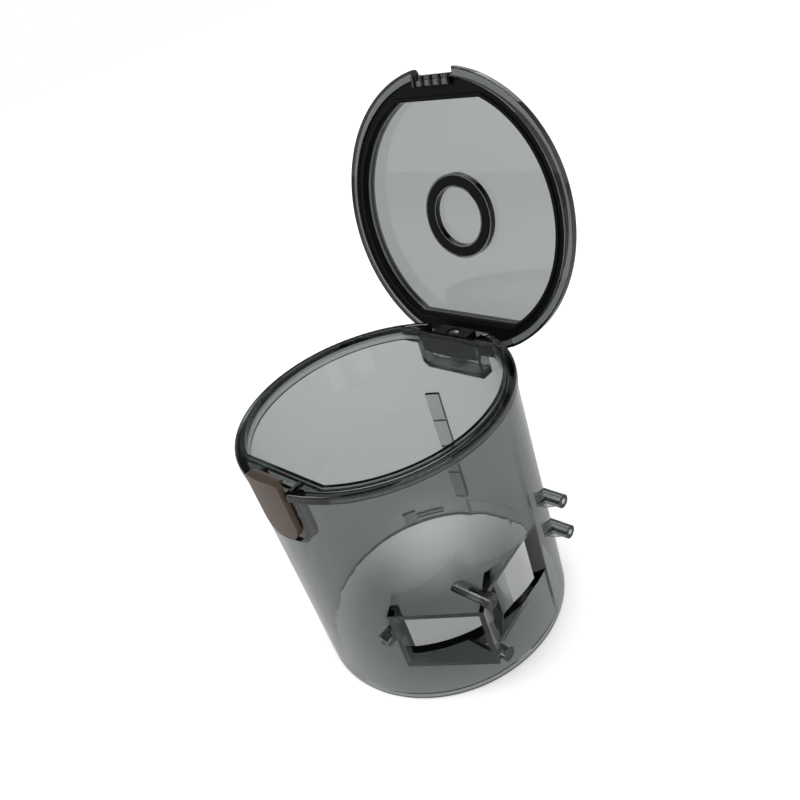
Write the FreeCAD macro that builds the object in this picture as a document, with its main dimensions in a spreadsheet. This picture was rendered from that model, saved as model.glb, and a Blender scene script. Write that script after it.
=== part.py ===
import FreeCAD, Part
import math
import os

# Cyclone dust bin of a small vacuum cleaner: a clear cup, open at both ends, with a hinged lid.
# The cup stands on its motor end. +Z runs up the cup, the latch is at -Y and the hinge at +Y.
# All lengths are millimetres and all angles degrees.

doc = FreeCAD.newDocument("cyclone_dust_bin")
sheet = doc.addObject("Spreadsheet::Sheet", "sizes")
sheet_rows = []


def size(alias, value):
    """Put one driving dimension in the spreadsheet and return it."""
    sheet_rows.append(alias)
    row = str(len(sheet_rows))
    sheet.set("A" + row, alias)
    sheet.set("B" + row, str(value))
    sheet.setAlias("B" + row, alias)
    return value


# Overlap of joined shapes, then the cup's wall and rim
join = size("join", 0.5)
cup_height = size("cup_height", 109.8)
wall_radius = size("wall_radius", 54.2)
wall_thickness = size("wall_thickness", 2.4)
foot_chamfer = size("foot_chamfer", 0.6)
register_depth = size("register_depth", 2.4)
register_step = size("register_step", 1.2)
rim_radius = size("rim_radius", 55.0)
rim_depth = size("rim_depth", 3.2)
rim_round = size("rim_round", 0.9)
rim_land = size("rim_land", 2.7)
groove_depth = size("groove_depth", 1.6)
shelf_depth = size("shelf_depth", 5.0)
lip_radius = size("lip_radius", 50.1)
lip_thickness = size("lip_thickness", 1.4)
lip_rise = size("lip_rise", 1.2)
latch_chord = size("latch_chord", 45.3)
hinge_chord = size("hinge_chord", 43.6)

# Inlet duct, side window and the plates that brace them
duct_angle = size("duct_angle", 31.5)
duct_reach = size("duct_reach", 59.3)
duct_offset = size("duct_offset", 19.15)
duct_width = size("duct_width", 35.1)
duct_floor = size("duct_floor", 27.8)
duct_height = size("duct_height", 28.2)
duct_wall = size("duct_wall", 2.0)
duct_overrun = size("duct_overrun", 9.6)
window_face = size("window_face", 51.3)
window_end = size("window_end", 6.7)
window_scarf = size("window_scarf", 11.0)
gusset_reach = size("gusset_reach", 51.5)
gusset_end = size("gusset_end", 1.0)

# Screw bosses
boss_radius = size("boss_radius", 2.9)
pilot_radius = size("pilot_radius", 1.2)
pilot_depth = size("pilot_depth", 10.0)
side_boss_end = size("side_boss_end", 51.5)
side_boss_y = size("side_boss_y", 33.5)
side_boss_low = size("side_boss_low", 31.0)
side_boss_gap = size("side_boss_gap", 17.0)
side_rib = size("side_rib", 1.2)
side_rib_drop = size("side_rib_drop", 7.0)
duct_boss_end = size("duct_boss_end", 62.6)
duct_boss_y = size("duct_boss_y", -26.3)
front_boss_end = size("front_boss_end", 53.3)
front_boss_x = size("front_boss_x", 28.8)
front_boss_z = size("front_boss_z", 43.5)

# Rail, bayonet lug and rebate inside the cup
rail_start = size("rail_start", -152.0)
rail_span = size("rail_span", 7.3)
rail_foot = size("rail_foot", 14.9)
rail_length = size("rail_length", 60.3)
rail_height = size("rail_height", 1.5)
rail_slot = size("rail_slot", 0.8)
end_margin = size("end_margin", 1.0)
lug_start = size("lug_start", -118.8)
lug_span = size("lug_span", 7.3)
lug_foot = size("lug_foot", 3.0)
lug_length = size("lug_length", 7.7)
lug_height = size("lug_height", 1.8)
arm_span = size("arm_span", 15.4)
arm_thickness = size("arm_thickness", 2.0)
rebate_span = size("rebate_span", 44.0)
rebate_height = size("rebate_height", 10.6)
rebate_depth = size("rebate_depth", 0.6)

# Latch chamber, its raised frame and the button
chamber_back = size("chamber_back", 47.4)
chamber_depth = size("chamber_depth", 26.0)
chamber_skin = size("chamber_skin", 1.3)
frame_opening = size("frame_opening", 19.0)
frame_round = size("frame_round", 7.0)
frame_wall = size("frame_wall", 1.5)
frame_reach = size("frame_reach", 53.0)
button_side_gap = size("button_side_gap", 0.5)
button_foot_gap = size("button_foot_gap", 2.0)
button_rise = size("button_rise", 4.3)
button_radius = size("button_radius", 56.0)
button_thickness = size("button_thickness", 3.1)
button_top_round = size("button_top_round", 2.0)
button_ear = size("button_ear", 1.4)
pivot_reach = size("pivot_reach", 51.4)
pivot_drop = size("pivot_drop", 11.0)
pin_radius = size("pin_radius", 1.0)
running_gap = size("running_gap", 0.05)
press_gap = size("press_gap", 0.01)
arm_drop = size("arm_drop", 4.4)
nose_width = size("nose_width", 15.0)
nose_height = size("nose_height", 1.6)
nose_reach = size("nose_reach", 51.2)
spring_drop = size("spring_drop", 20.3)
spring_peg = size("spring_peg", 1.6)
spring_width = size("spring_width", 6.0)
spring_leaf = size("spring_leaf", 0.4)
spring_bend = size("spring_bend", 0.9)
spring_lean = size("spring_lean", 32.0)
spring_rise = size("spring_rise", 4.0)
spring_foot = size("spring_foot", 3.0)

# Hinge pocket, bracket, pins and screw
hinge_y = size("hinge_y", 49.5)
hinge_drop = size("hinge_drop", 6.2)
open_angle = size("open_angle", 100.0)
pocket_width = size("pocket_width", 32.6)
pocket_depth = size("pocket_depth", 16.8)
pocket_skin = size("pocket_skin", 1.4)
pocket_chamfer = size("pocket_chamfer", 2.4)
ear_radius = size("ear_radius", 3.1)
ear_thickness = size("ear_thickness", 4.2)
ear_gap = size("ear_gap", 0.4)
stop_gap = size("stop_gap", 0.3)
bracket_width = size("bracket_width", 17.6)
bracket_drop = size("bracket_drop", 9.0)
bracket_top_drop = size("bracket_top_drop", 0.5)
bracket_reach = size("bracket_reach", 53.2)
bracket_plate = size("bracket_plate", 0.9)
bracket_sag = size("bracket_sag", 0.8)
hinge_pin_inner = size("hinge_pin_inner", 4.5)
hinge_pin_outer = size("hinge_pin_outer", 13.9)
screw_radius = size("screw_radius", 1.25)
screw_length = size("screw_length", 12.0)
screw_head_radius = size("screw_head_radius", 2.5)
screw_head_height = size("screw_head_height", 1.8)
screw_slot = size("screw_slot", 0.7)
screw_dome = size("screw_dome", 0.6)
screw_boss_radius = size("screw_boss_radius", 3.2)

# Lid and its seals
lid_gap = size("lid_gap", 0.3)
lid_radius = size("lid_radius", 55.5)
flange_thickness = size("flange_thickness", 4.2)
flange_round = size("flange_round", 2.2)
latch_flat = size("latch_flat", 52.6)
recess_radius = size("recess_radius", 48.0)
recess_latch_chord = size("recess_latch_chord", 43.8)
recess_hinge_chord = size("recess_hinge_chord", 41.2)
drum_wall = size("drum_wall", 2.0)
drum_round = size("drum_round", 1.5)
pane_level = size("pane_level", 7.3)
pane_thickness = size("pane_thickness", 2.0)
seal_thickness = size("seal_thickness", 1.8)
seal_radius = size("seal_radius", 52.0)
seal_side_gap = size("seal_side_gap", 0.1)
seal_ridge = size("seal_ridge", 0.8)
seal_ridge_drop = size("seal_ridge_drop", 0.9)
hinge_relief_width = size("hinge_relief_width", 48.0)
hinge_relief = size("hinge_relief", 1.6)
ring_hole = size("ring_hole", 11.5)
ring_radius = size("ring_radius", 16.6)
ring_drop = size("ring_drop", 2.6)
ring_seat = size("ring_seat", 0.8)
ring_seal_inner = size("ring_seal_inner", 12.2)
ring_seal_width = size("ring_seal_width", 3.6)
ring_seal_proud = size("ring_seal_proud", 0.2)
catch_width = size("catch_width", 17.6)
catch_reach = size("catch_reach", 48.9)
catch_height = size("catch_height", 2.1)
catch_shelf = size("catch_shelf", 50.8)
catch_gap = size("catch_gap", 0.3)
catch_rib = size("catch_rib", 1.0)
catch_rib_drop = size("catch_rib_drop", 1.5)
catch_rib_count = size("catch_rib_count", 5)

doc.recompute()

# Places worked out from the driving dimensions
bore_radius = wall_radius - wall_thickness
half_frame = frame_opening / 2
chamber_floor = cup_height - chamber_depth
pocket_floor = cup_height - pocket_depth
pivot_z = cup_height - pivot_drop
spring_z = cup_height - spring_drop
hinge_z = cup_height - hinge_drop
ear_inner = bracket_width / 2 + ear_gap
ear_outer = ear_inner + ear_thickness
pocket_front = hinge_chord + pocket_skin
notch_floor = hinge_z - ear_radius / math.sin(math.radians(open_angle)) - stop_gap
notch_floor -= (wall_radius - hinge_y) / math.tan(math.radians(180 - open_angle))
bracket_foot = cup_height - bracket_drop
bracket_top = cup_height - bracket_top_drop
lip_front = latch_chord + chamber_skin
chamber_front = chamber_back + chamber_skin
button_back = button_radius - button_thickness


def vec(x, y, z=0.0):
    """Short name for a vector."""
    return FreeCAD.Vector(x, y, z)


def line(start, end):
    """Straight edge between two points."""
    return Part.LineSegment(vec(*start), vec(*end))


def arc(start, middle, end):
    """Arc of a circle through three points."""
    return Part.Arc(vec(*start), vec(*middle), vec(*end))


def circle(radius, centre=(0.0, 0.0)):
    """Full circle."""
    return Part.Circle(vec(*centre), vec(0, 0, 1), radius)


def closed(points):
    """Straight-sided closed outline."""
    return [line(start, end) for start, end in zip(points, points[1:] + points[:1])]


def rectangle(x_low, y_low, x_high, y_high):
    """Rectangle from two corners."""
    return closed([(x_low, y_low), (x_high, y_low), (x_high, y_high), (x_low, y_high)])


def double_d(radius, latch_side, hinge_side):
    """Circle with one flat towards the latch and one towards the hinge."""
    latch_x = math.sqrt(radius ** 2 - latch_side ** 2)
    hinge_x = math.sqrt(radius ** 2 - hinge_side ** 2)
    return [
        arc((latch_x, -latch_side), (radius, 0), (hinge_x, hinge_side)),
        line((hinge_x, hinge_side), (-hinge_x, hinge_side)),
        arc((-hinge_x, hinge_side), (-radius, 0), (-latch_x, -latch_side)),
        line((-latch_x, -latch_side), (latch_x, -latch_side)),
    ]


def segment(half_width, flat, radius, side):
    """Area between a straight wall at y = side * flat and the round wall of the given radius."""
    corner = side * math.sqrt(radius ** 2 - half_width ** 2)
    return [
        line((-half_width, side * flat), (half_width, side * flat)),
        line((half_width, side * flat), (half_width, corner)),
        arc((half_width, corner), (0, side * radius), (-half_width, corner)),
        line((-half_width, corner), (-half_width, side * flat)),
    ]


def polar(radius, azimuth):
    """Point at an azimuth measured from the latch towards +X."""
    angle = math.radians(azimuth)
    return (radius * math.sin(angle), -radius * math.cos(angle))


def sector(inner, outer, start, end):
    """Piece of a ring between two azimuths."""
    middle = (start + end) / 2
    return [
        arc(polar(inner, start), polar(inner, middle), polar(inner, end)),
        line(polar(inner, end), polar(outer, end)),
        arc(polar(outer, end), polar(outer, middle), polar(outer, start)),
        line(polar(outer, start), polar(inner, start)),
    ]


def shield(half_width, foot, top, foot_round, top_round):
    """Upright outline with four round corners."""
    slope = math.sqrt(0.5)
    low = foot_round * (1 - slope)
    high = top_round * (1 - slope)
    edge = half_width
    return [
        line((foot_round - edge, foot), (edge - foot_round, foot)),
        arc((edge - foot_round, foot), (edge - low, foot + low), (edge, foot + foot_round)),
        line((edge, foot + foot_round), (edge, top - top_round)),
        arc((edge, top - top_round), (edge - high, top - high), (edge - top_round, top)),
        line((edge - top_round, top), (top_round - edge, top)),
        arc((top_round - edge, top), (high - edge, top - high), (-edge, top - top_round)),
        line((-edge, top - top_round), (-edge, foot + foot_round)),
        arc((-edge, foot + foot_round), (low - edge, foot + low), (foot_round - edge, foot)),
    ]


def duct_point(reach, across):
    """Point in plan from the duct's own axes: reach along its mouth normal, across to its side."""
    angle = math.radians(duct_angle)
    x = reach * math.sin(angle) + across * math.cos(angle)
    y = across * math.sin(angle) - reach * math.cos(angle)
    return (x, y)


def new_body(name):
    """Start one moulded or turned piece."""
    body = doc.addObject("PartDesign::Body", name)
    body.Label = name
    return body


def sketch_on(body, role, name, outline, offset=0.0):
    """Sketch on one of the body's own origin planes, moved along the plane's normal."""
    plane = next(item for item in body.Origin.OriginFeatures if item.Role == role)
    sketch = body.newObject("Sketcher::SketchObject", name + "_sketch")
    sketch.AttachmentSupport = [(plane, "")]
    sketch.MapMode = "FlatFace"
    sketch.AttachmentOffset = FreeCAD.Placement(vec(0, 0, offset), FreeCAD.Rotation())
    sketch.addGeometry(outline, False)
    doc.recompute()
    return sketch


def finish_feature(body, feature):
    """Recompute a feature, hand it back and stop if it failed."""
    doc.recompute()
    if "Invalid" in feature.State or "Error" in feature.State:
        raise RuntimeError(feature.Name + " failed")
    body.Tip = feature
    return feature


def pad(body, role, name, outline, offset, length):
    """Add an outline drawn out along the plane's normal; length is a number or a sheet formula."""
    sketch = sketch_on(body, role, name, outline, offset)
    feature = body.newObject("PartDesign::Pad", name)
    feature.Profile = sketch
    set_length(feature, length)
    return finish_feature(body, feature)


def pocket(body, role, name, outline, offset, length):
    """Cut an outline drawn out along the plane's normal; it has to take something away."""
    before = body.Shape.Volume
    sketch = sketch_on(body, role, name, outline, offset)
    feature = body.newObject("PartDesign::Pocket", name)
    feature.Profile = sketch
    feature.Reversed = True
    set_length(feature, length)
    finish_feature(body, feature)
    if body.Shape.Volume >= before:
        raise RuntimeError(name + " cut nothing")
    return feature


def set_length(feature, length):
    """Bind a length to the sheet where it is given as a formula."""
    if isinstance(length, str):
        feature.setExpression("Length", length)
    else:
        feature.Length = length


def revolve(body, name, outline):
    """Turn an outline in the XZ plane once round the Z axis."""
    sketch = sketch_on(body, "XZ_Plane", name, outline)
    feature = body.newObject("PartDesign::Revolution", name)
    feature.Profile = sketch
    feature.ReferenceAxis = (sketch, ["V_Axis"])
    feature.Angle = 360
    return finish_feature(body, feature)


def edges_where(body, test):
    """Names of the body's edges that pass a test."""
    names = []
    for number, edge in enumerate(body.Shape.Edges, 1):
        if test(edge):
            names.append("Edge" + str(number))
    return names


def fillet(body, name, edges, radius):
    """Round the named edges; radius is a sheet formula."""
    base = body.Tip
    feature = body.newObject("PartDesign::Fillet", name)
    feature.Base = (base, edges)
    feature.setExpression("Radius", radius)
    return finish_feature(body, feature)


def lies_level(edge, z):
    """True for an edge that lies in one level plane."""
    box = edge.BoundBox
    return abs(box.ZMin - z) < 0.01 and abs(box.ZMax - z) < 0.01


# Cup: wall and rim
cup = new_body("cup_body")
land_radius = rim_radius - rim_land
half_round = rim_round * (1 - math.sqrt(0.5))
rim_foot = cup_height - rim_depth
flare_foot = rim_foot - (rim_radius - wall_radius)
groove_floor = cup_height - groove_depth
step_radius = bore_radius + register_step
revolve(cup, "wall", [
    line((step_radius, 0), (wall_radius - foot_chamfer, 0)),
    line((wall_radius - foot_chamfer, 0), (wall_radius, foot_chamfer)),
    line((wall_radius, foot_chamfer), (wall_radius, flare_foot)),
    line((wall_radius, flare_foot), (rim_radius, rim_foot)),
    line((rim_radius, rim_foot), (rim_radius, cup_height - rim_round)),
    arc((rim_radius, cup_height - rim_round), (rim_radius - half_round, cup_height - half_round),
        (rim_radius - rim_round, cup_height)),
    line((rim_radius - rim_round, cup_height), (land_radius, cup_height)),
    line((land_radius, cup_height), (land_radius, groove_floor)),
    line((land_radius, groove_floor), (bore_radius, groove_floor)),
    line((bore_radius, groove_floor), (bore_radius, register_depth)),
    line((bore_radius, register_depth), (step_radius, register_depth)),
    line((step_radius, register_depth), (step_radius, 0)),
])

# Cup: inlet duct, bracing plates and the screw bosses that cross them
inner_reach = bore_radius - duct_overrun
duct_low = duct_offset - duct_width / 2
duct_high = duct_offset + duct_width / 2
duct_plan = closed([
    duct_point(inner_reach, duct_low),
    duct_point(duct_reach, duct_low),
    duct_point(duct_reach, duct_high),
    duct_point(inner_reach - duct_width / 2, duct_high),
])
pad(cup, "XY_Plane", "duct", duct_plan, duct_floor, "sizes.duct_height")

gusset_plan = closed([
    duct_point(gusset_reach, duct_high - join),
    (wall_radius, gusset_end),
    (bore_radius - join, gusset_end),
    duct_point(inner_reach - duct_width / 2, duct_high - join),
])
duct_roof = duct_floor + duct_height
for name, level in (("lower_gusset", duct_floor), ("upper_gusset", duct_roof - duct_wall)):
    pad(cup, "XY_Plane", name, gusset_plan, level, "sizes.duct_wall")

side_levels = (side_boss_low, side_boss_low + side_boss_gap)
duct_levels = (duct_floor, duct_roof)
side_root = math.sqrt(bore_radius ** 2 - side_boss_y ** 2) - join
duct_root = math.sqrt(bore_radius ** 2 - duct_boss_y ** 2) - join
for number, level in enumerate(side_levels, 1):
    name = "side_boss_" + str(number)
    pad(cup, "YZ_Plane", name, [circle(boss_radius, (side_boss_y, level))], side_root,
        side_boss_end - side_root)
    rib_plan = closed([
        (side_root, level - side_rib_drop),
        (side_root + wall_thickness, level - side_rib_drop),
        (side_boss_end - side_rib, level - boss_radius + join),
        (side_boss_end - side_rib, level),
        (side_root, level),
    ])
    pad(cup, "XZ_Plane", name + "_rib", rib_plan, -side_boss_y - side_rib / 2, "sizes.side_rib")
for number, level in enumerate(duct_levels, 1):
    pad(cup, "YZ_Plane", "duct_boss_" + str(number), [circle(boss_radius, (duct_boss_y, level))],
        duct_root, duct_boss_end - duct_root)
front_root = math.sqrt(bore_radius ** 2 - front_boss_x ** 2) - join
pad(cup, "XZ_Plane", "front_boss", [circle(boss_radius, (front_boss_x, front_boss_z))], front_root,
    front_boss_end - front_root)

# Cup: the bore is cleared, then the duct and the window are opened through the wall
pocket(cup, "XY_Plane", "bore", [circle(bore_radius)], 0, cup_height)
passage_plan = closed([
    duct_point(inner_reach - duct_width / 2, duct_low + duct_wall),
    duct_point(duct_reach + join, duct_low + duct_wall),
    duct_point(duct_reach + join, duct_high - duct_wall),
    duct_point(inner_reach - duct_width / 2, duct_high - duct_wall),
])
clear_height = "sizes.duct_height - 2 * sizes.duct_wall"
pocket(cup, "XY_Plane", "passage", passage_plan, duct_floor + duct_wall, clear_height)

# The window is cut flat, from the outer face of the duct's side wall to a slanting far edge.
duct_lean = math.tan(math.radians(duct_angle))
mouth_x, mouth_y = duct_point(duct_reach, duct_high)
window_out = wall_radius + wall_thickness
window_plan = closed([
    (window_face, mouth_y + (mouth_x - window_face) / duct_lean),
    (window_out, mouth_y + (mouth_x - window_out) / duct_lean),
    (window_out, window_end + (window_out - window_face) / math.tan(math.radians(window_scarf))),
    (window_face, window_end),
])
pocket(cup, "XY_Plane", "window", window_plan, duct_floor + duct_wall, clear_height)

for number, level in enumerate(side_levels, 1):
    pocket(cup, "YZ_Plane", "side_pilot_" + str(number), [circle(pilot_radius, (side_boss_y, level))],
           side_boss_end - pilot_depth, pilot_depth)
for number, level in enumerate(duct_levels, 1):
    pocket(cup, "YZ_Plane", "duct_pilot_" + str(number), [circle(pilot_radius, (duct_boss_y, level))],
           duct_boss_end - pilot_depth, pilot_depth)
pocket(cup, "XZ_Plane", "front_pilot", [circle(pilot_radius, (front_boss_x, front_boss_z))],
       front_boss_end - pilot_depth / 2, pilot_depth / 2)

# Cup: shelf and sealing lip round the mouth, flat at the latch and at the hinge
mouth = double_d(lip_radius, latch_chord, hinge_chord)
lip_edge = double_d(lip_radius + lip_thickness, lip_front, pocket_front)
pad(cup, "XY_Plane", "shelf", [circle(bore_radius + join)] + mouth, cup_height - shelf_depth,
    "sizes.shelf_depth - sizes.groove_depth")
pad(cup, "XY_Plane", "lip", lip_edge + mouth, groove_floor,
    "sizes.groove_depth + sizes.lip_rise")

# Cup: latch chamber and hinge pocket start as blocks that are trimmed to the round wall
half_pocket = pocket_width / 2
half_chamber = half_frame + frame_wall
shelf_foot = cup_height - shelf_depth
block_top = shelf_foot + join
block_reach = wall_radius + join
pad(cup, "XZ_Plane", "chamber",
    shield(half_chamber, chamber_floor, block_top, frame_round + frame_wall, join),
    chamber_back, block_reach - chamber_back)
pocket_outline = closed([
    (pocket_chamfer - half_pocket, pocket_floor),
    (half_pocket, pocket_floor),
    (half_pocket, block_top),
    (-half_pocket, block_top),
    (-half_pocket, pocket_floor + pocket_chamfer),
])
pad(cup, "XZ_Plane", "hinge_block", pocket_outline, -block_reach, block_reach - hinge_chord)
trim_floor = chamber_floor - join
pocket(cup, "XY_Plane", "outer_trim", [circle(block_reach + half_pocket), circle(wall_radius)],
       trim_floor, block_top - trim_floor)

# Cup: the chamber's walls run on through the rim, and its space is open to the front and the top
pad(cup, "XZ_Plane", "frame",
    rectangle(-half_chamber, shelf_foot, half_chamber, cup_height),
    latch_chord + join, frame_reach - latch_chord - join)
opening_floor = chamber_floor + frame_wall
pocket(cup, "XZ_Plane", "button_opening",
       shield(half_frame, opening_floor, cup_height + frame_round, frame_round, rim_round),
       chamber_front, rim_radius - chamber_front + join)
pocket(cup, "XZ_Plane", "catch_space",
       rectangle(-half_frame, shelf_foot + chamber_skin, half_frame, cup_height + frame_round),
       lip_front, chamber_front - lip_front + join)
pad(cup, "XZ_Plane", "spring_seat", [circle(spring_peg, (0, spring_z))], chamber_front - join,
    spring_peg + join)
pocket(cup, "YZ_Plane", "button_pin_holes",
       [circle(pin_radius + press_gap, (-pivot_reach, pivot_z))], -half_chamber, 2 * half_chamber)

# Cup: space of the hinge pocket, notch for the lid's ears and the boss for the bracket's screw
half_space = half_pocket - pocket_skin
floor_top = pocket_floor + pocket_skin
chamfer_top = pocket_floor + pocket_chamfer
pocket(cup, "XY_Plane", "pocket_space", segment(half_space, pocket_front, bore_radius, 1),
       chamfer_top, pocket_depth)
pocket(cup, "XY_Plane", "pocket_well",
       segment(half_space - pocket_chamfer, pocket_front, bore_radius, 1), floor_top, pocket_depth)
pocket(cup, "XY_Plane", "ear_notch",
       rectangle(-half_space, hinge_y, half_space, rim_radius + join), notch_floor, pocket_depth)
pad(cup, "XY_Plane", "screw_boss", [circle(screw_boss_radius, (0, hinge_y))], floor_top - join,
    bracket_foot - floor_top + join)
head_seat = bracket_top - screw_head_height
screw_tip = head_seat - screw_length
pocket(cup, "XY_Plane", "screw_pilot", [circle(screw_radius + press_gap, (0, hinge_y))],
       screw_tip - press_gap, bracket_foot - screw_tip + join)

# Cup: divided rail, bayonet lug with its arm, and the rebate for the motor housing
rail_end = rail_start - rail_span
rail_inner = bore_radius - rail_height
pad(cup, "XY_Plane", "rail", sector(rail_inner, bore_radius + join, rail_start, rail_end), rail_foot,
    "sizes.rail_length")
rail_slot_count = 3
for number in range(1, rail_slot_count + 1):
    pocket(cup, "XY_Plane", "rail_slot_" + str(number),
           sector(rail_inner - join, rail_inner + rail_slot, rail_start + end_margin,
                  rail_end - end_margin),
           rail_foot + number * rail_length / (rail_slot_count + 1), "sizes.rail_slot")
lug_end = lug_start - lug_span
lug_inner = bore_radius - lug_height
pad(cup, "XY_Plane", "lug", sector(lug_inner, bore_radius + join, lug_start, lug_end), lug_foot,
    "sizes.lug_length")
pad(cup, "XY_Plane", "lug_arm",
    sector(lug_inner, bore_radius + join, lug_end + end_margin, lug_end - arm_span),
    lug_foot + (lug_length - arm_thickness) / 2, "sizes.arm_thickness")
pocket(cup, "XY_Plane", "rebate",
       sector(bore_radius - join, bore_radius + rebate_depth, 180 - rebate_span / 2,
              180 + rebate_span / 2), 0, "sizes.rebate_height")

# Lid: drawn closed on the cup, then swung open about the hinge
swing = FreeCAD.Rotation(vec(1, 0, 0), -open_angle)
opened = FreeCAD.Placement(vec(0, 0, 0), swing, vec(0, hinge_y, hinge_z))
flange_face = cup_height + lid_gap
flange_top = flange_face + flange_thickness
seal_face = cup_height + lip_rise + lid_gap
seal_back = seal_face + seal_thickness
pane_face = cup_height + pane_level
pane_top = pane_face + pane_thickness
seat_radius = seal_radius + seal_side_gap

lid = new_body("lid_panel")
flange_curve = flange_round * (1 - math.sqrt(0.5))
revolve(lid, "flange", [
    line((0, flange_face), (lid_radius, flange_face)),
    line((lid_radius, flange_face), (lid_radius, flange_top - flange_round)),
    arc((lid_radius, flange_top - flange_round), (lid_radius - flange_curve, flange_top - flange_curve),
        (lid_radius - flange_round, flange_top)),
    line((lid_radius - flange_round, flange_top), (0, flange_top)),
    line((0, flange_top), (0, flange_face)),
])
pad(lid, "XY_Plane", "drum",
    double_d(recess_radius + drum_wall, recess_latch_chord + drum_wall, recess_hinge_chord + drum_wall),
    flange_top - join, pane_top - flange_top + join)
top_edges = edges_where(lid, lambda edge: lies_level(edge, pane_top))
fillet(lid, "drum_edge", top_edges, "sizes.drum_round")
pocket(lid, "XY_Plane", "recess", double_d(recess_radius, recess_latch_chord, recess_hinge_chord),
       flange_face - join, pane_face - flange_face + join)
pocket(lid, "XY_Plane", "seal_seat", [circle(seat_radius)], flange_face - join,
       seal_back - flange_face + join)
pocket(lid, "XY_Plane", "hinge_relief",
       rectangle(-hinge_relief_width / 2, pocket_front, hinge_relief_width / 2, lid_radius + join),
       flange_face - join, hinge_relief + join)
notch_half = half_frame + catch_gap
pocket(lid, "XY_Plane", "button_notch",
       rectangle(-notch_half, -lid_radius - join, notch_half, -latch_flat), flange_face - join,
       flange_thickness + 2 * join)
ring_face = pane_face - ring_drop
pad(lid, "XY_Plane", "centre_boss", [circle(ring_radius), circle(ring_hole)], ring_face,
    ring_drop + pane_thickness / 2)
pocket(lid, "XY_Plane", "ring_seat",
       [circle(ring_seal_inner + ring_seal_width), circle(ring_seal_inner)], ring_face - join,
       ring_seat + join)

ear_root = (seal_back + flange_top) / 2
ear_plan = [
    line((hinge_y - ear_radius, ear_root), (hinge_y - ear_radius, hinge_z)),
    arc((hinge_y - ear_radius, hinge_z), (hinge_y, hinge_z - ear_radius), (hinge_y + ear_radius, hinge_z)),
    line((hinge_y + ear_radius, hinge_z), (hinge_y + ear_radius, ear_root)),
    line((hinge_y + ear_radius, ear_root), (hinge_y - ear_radius, ear_root)),
]
for name, start in (("right_ear", ear_inner), ("left_ear", -ear_outer)):
    pad(lid, "YZ_Plane", name, ear_plan, start, "sizes.ear_thickness")
pocket(lid, "YZ_Plane", "ear_bores", [circle(pin_radius + running_gap, (hinge_y, hinge_z))],
       -ear_outer, 2 * ear_outer)

# Lid: catch ledge that the button's nose holds down, with short ribs hanging from it
catch_top = flange_face + catch_height
half_catch = catch_width / 2
pad(lid, "XY_Plane", "catch",
    rectangle(-half_catch, -latch_flat, half_catch, -catch_reach), flange_face,
    ear_root - flange_face)
pocket(lid, "XY_Plane", "nose_space",
       rectangle(-half_catch, -lid_radius, half_catch, -catch_shelf), catch_top,
       flange_top - catch_top + join)
rib_pitch = (catch_width - catch_rib) / (catch_rib_count - 1)
for number in range(catch_rib_count):
    rib_side = number * rib_pitch - half_catch
    pad(lid, "XY_Plane", "catch_rib_" + str(number + 1),
        rectangle(rib_side, -latch_flat, rib_side + catch_rib, -catch_reach),
        flange_face - catch_rib_drop, "sizes.catch_rib_drop + sizes.catch_height / 2")
lid.Placement = opened

# Lid seal: notched at the catch and at the hinge ears, with a wiping ridge inside the cup's lip
seal = new_body("lid_seal")
catch_side = half_catch + catch_gap
catch_corner = math.sqrt(seal_radius ** 2 - catch_side ** 2)
catch_front = catch_reach - catch_gap
ear_side = ear_outer + lid_gap
ear_corner = math.sqrt(seal_radius ** 2 - ear_side ** 2)
ear_front = hinge_y - ear_radius - catch_gap
seal_outline = [
    line((-catch_side, -catch_corner), (-catch_side, -catch_front)),
    line((-catch_side, -catch_front), (catch_side, -catch_front)),
    line((catch_side, -catch_front), (catch_side, -catch_corner)),
    arc((catch_side, -catch_corner), (seal_radius, 0), (ear_side, ear_corner)),
    line((ear_side, ear_corner), (ear_side, ear_front)),
    line((ear_side, ear_front), (-ear_side, ear_front)),
    line((-ear_side, ear_front), (-ear_side, ear_corner)),
    arc((-ear_side, ear_corner), (-seal_radius, 0), (-catch_side, -catch_corner)),
]
seal_mouth = double_d(recess_radius + seal_side_gap, recess_latch_chord + seal_side_gap,
                      recess_hinge_chord + seal_side_gap)
pad(seal, "XY_Plane", "band", seal_outline + seal_mouth, seal_face, "sizes.seal_thickness")
ridge_radius = lip_radius - seal_ridge
ridge_latch = latch_chord - seal_ridge / 2
ridge_hinge = hinge_chord - seal_ridge
pad(seal, "XY_Plane", "ridge",
    double_d(ridge_radius, ridge_latch, ridge_hinge)
    + double_d(ridge_radius - seal_ridge, ridge_latch - seal_ridge / 2, ridge_hinge - seal_ridge),
    seal_face - seal_ridge_drop, seal_ridge_drop + seal_thickness / 2)
seal.Placement = opened

# Centre seal: plain ring seated in the lid's boss
centre_seal = new_body("centre_seal")
pad(centre_seal, "XY_Plane", "ring",
    [circle(ring_seal_inner + ring_seal_width - running_gap), circle(ring_seal_inner + running_gap)],
    ring_face - ring_seal_proud, "sizes.ring_seal_proud + sizes.ring_seat")
centre_seal.Placement = opened

# Release button: curved shield with a holding nose, and two ears on the pin
button = new_body("release_button")
half_button = half_frame - button_side_gap
button_foot = opening_floor + button_foot_gap
button_top = cup_height + button_rise
pad(button, "XZ_Plane", "face",
    shield(half_button, button_foot, button_top, frame_round + button_side_gap, button_top_round),
    button_back, button_thickness)
pocket(button, "XY_Plane", "outer_curve",
       [circle(button_radius + button_thickness), circle(button_radius)], button_foot - join,
       button_top - button_foot + 2 * join)
nose_root = -button_back - join
nose_foot = catch_top + catch_gap
nose_slope = nose_foot + nose_height / 2
pad(button, "YZ_Plane", "nose", closed([
    (nose_root, nose_foot),
    (-nose_reach, nose_foot),
    (-nose_reach, nose_slope),
    (-button_back, nose_foot + nose_height),
    (nose_root, nose_foot + nose_height),
]), -nose_width / 2, "sizes.nose_width")
eye_radius = 2 * pin_radius
rest_y = -chamber_front - catch_gap
arm_top = cup_height - arm_drop
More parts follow.
